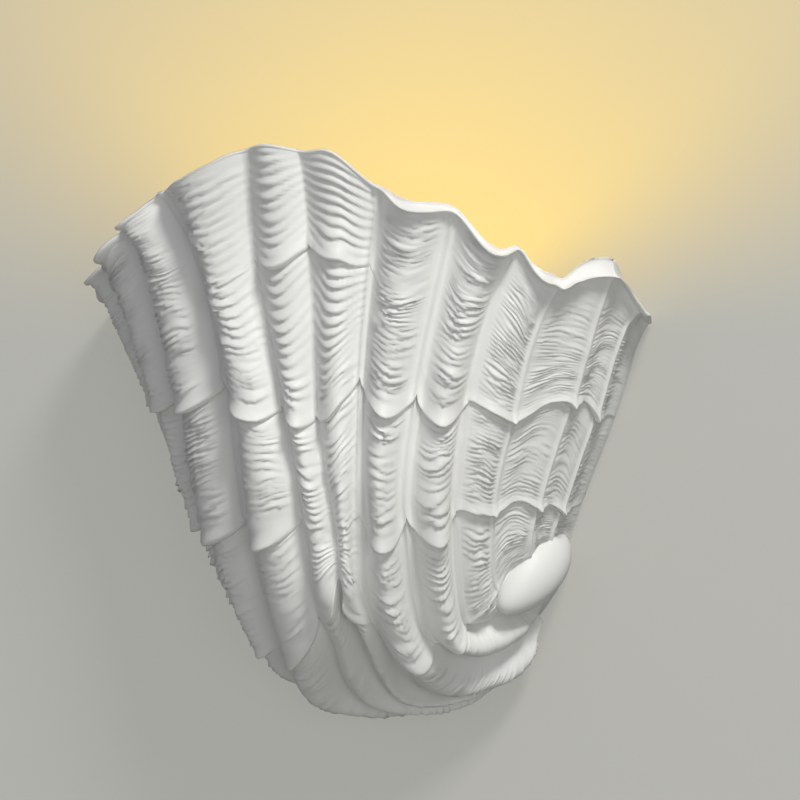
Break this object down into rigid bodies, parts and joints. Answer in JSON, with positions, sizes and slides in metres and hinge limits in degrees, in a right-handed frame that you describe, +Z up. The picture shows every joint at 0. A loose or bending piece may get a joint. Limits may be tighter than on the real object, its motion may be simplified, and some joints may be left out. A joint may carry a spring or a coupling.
{
  "type": "shell wall sconce",
  "caption": "Wall light with a fluted clam-shell half bowl, open at the top, hung on a plate with an upright lamp inside.",
  "frame": {"origin": "on the wall plane, midway between the wall plate's two fixing slots", "axes": "+Z up, +Y into the wall, +X to the right of someone who faces the wall"},
  "size_m": [0.4101, 0.1581, 0.367],
  "materials": {
    "shell_plaster": "matte off-white, smooth cast plaster",
    "pad_felt": "grey felt",
    "fitting_brass": "plain turned brass",
    "zinc_steel": "zinc plated",
    "zinc_screw": "zinc plated",
    "plate_paint": "matte white powder coat",
    "grommet_rubber": "black rubber",
    "holder_plastic": "cream moulded resin",
    "holder_ceramic": "unglazed porcelain",
    "block_plastic": "natural nylon",
    "lead_brown": "brown insulation",
    "lead_blue": "blue insulation",
    "lead_green": "green and yellow striped insulation",
    "clamp_nylon": "black nylon",
    "solder_tin": "tinned contact",
    "insulator_glass": "black glass insulator",
    "cap_nickel": "nickel plated",
    "collar_plastic": "white polycarbonate",
    "board_white": "white board",
    "bulb_opal": "opal diffuser, warm"
  },
  "bodies": {
    "wall_side": {"wall_plate": "plate_paint", "cable_grommet": "grommet_rubber", "lamp_bracket": "plate_paint", "bracket_screws": "zinc_screw", "bracket_washers": "zinc_steel", "threaded_nipple": "fitting_brass", "nipple_washer": "zinc_steel", "nipple_nut": "fitting_brass", "lampholder_cap": "holder_plastic", "lampholder_body": "holder_plastic", "lampholder_core": "holder_ceramic", "screw_sleeve": "fitting_brass", "centre_contact": "fitting_brass", "terminal_block": "block_plastic", "terminal_tubes": "fitting_brass", "terminal_screws": "zinc_screw", "terminal_block_screw": "zinc_screw", "live_wire": "lead_brown", "neutral_wire": "lead_blue", "earth_wire": "lead_green", "earth_stud": "fitting_brass", "earth_washer": "zinc_steel", "earth_ring": "zinc_steel", "earth_nut": "fitting_brass", "cable_clamp": "clamp_nylon", "clamp_screws": "zinc_screw"},
    "shell": {"shell_casting": "shell_plaster", "threaded_inserts": "fitting_brass", "hanger_left": "zinc_steel", "hanger_right": "zinc_steel", "hanger_screws": "zinc_screw", "back_pads": "pad_felt"},
    "lamp": {"bulb_tip": "solder_tin", "bulb_insulator": "insulator_glass", "bulb_cap": "cap_nickel", "bulb_collar": "collar_plastic", "led_board": "board_white", "bulb_envelope": "bulb_opal"}
  },
  "joints": [
    {"name": "shell_lift", "type": "slide", "parent": "wall_side", "child": "shell", "axis": [0, 0, 1], "range_m": [0, 0.014]},
    {"name": "bulb_rise", "type": "slide", "parent": "wall_side", "child": "lamp", "axis": [0, 0, 1], "range_m": [0, 0.0256]}
  ]
}
